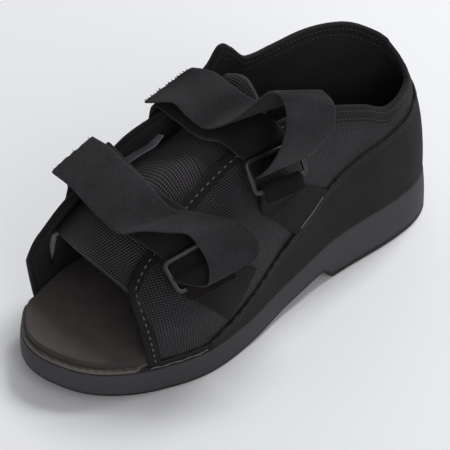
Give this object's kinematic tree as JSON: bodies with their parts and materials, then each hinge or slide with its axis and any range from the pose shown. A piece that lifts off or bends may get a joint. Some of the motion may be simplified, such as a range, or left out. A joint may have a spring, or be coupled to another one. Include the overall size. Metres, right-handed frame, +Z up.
{
  "type": "post-operative orthopedic shoe",
  "caption": "Open-toed cloth post-operative shoe for the left foot, on a moulded sole, closed by wide hook-and-loop straps looped through rings.",
  "frame": {"origin": "middle of the flat spot under the heel, on the floor", "axes": "-Y towards the toe, +X towards the outer side of the foot, +Z up"},
  "size_m": [0.1246, 0.29, 0.1673],
  "materials": {
    "sole_rubber": "matt moulded",
    "board_fibre": "pressed fibre, matt",
    "insole_suede": "short nap",
    "mesh_cloth": "open mesh over foam",
    "twill_cloth": "ribbed twill",
    "strap_nap": "brushed loop pile",
    "ring_plastic": "satin",
    "tab_velour": "short nap"
  },
  "bodies": {
    "root": {"outsole": "sole_rubber", "insole_board": "board_fibre", "insole": "insole_suede", "upper": "mesh_cloth", "heel_counter": "twill_cloth", "tongue": "mesh_cloth", "strap_front": "strap_nap", "strap_rear": "strap_nap", "ring_front": "ring_plastic", "ring_rear": "ring_plastic", "tab_front": "tab_velour", "tab_rear": "tab_velour"}
  },
  "joints": []
}
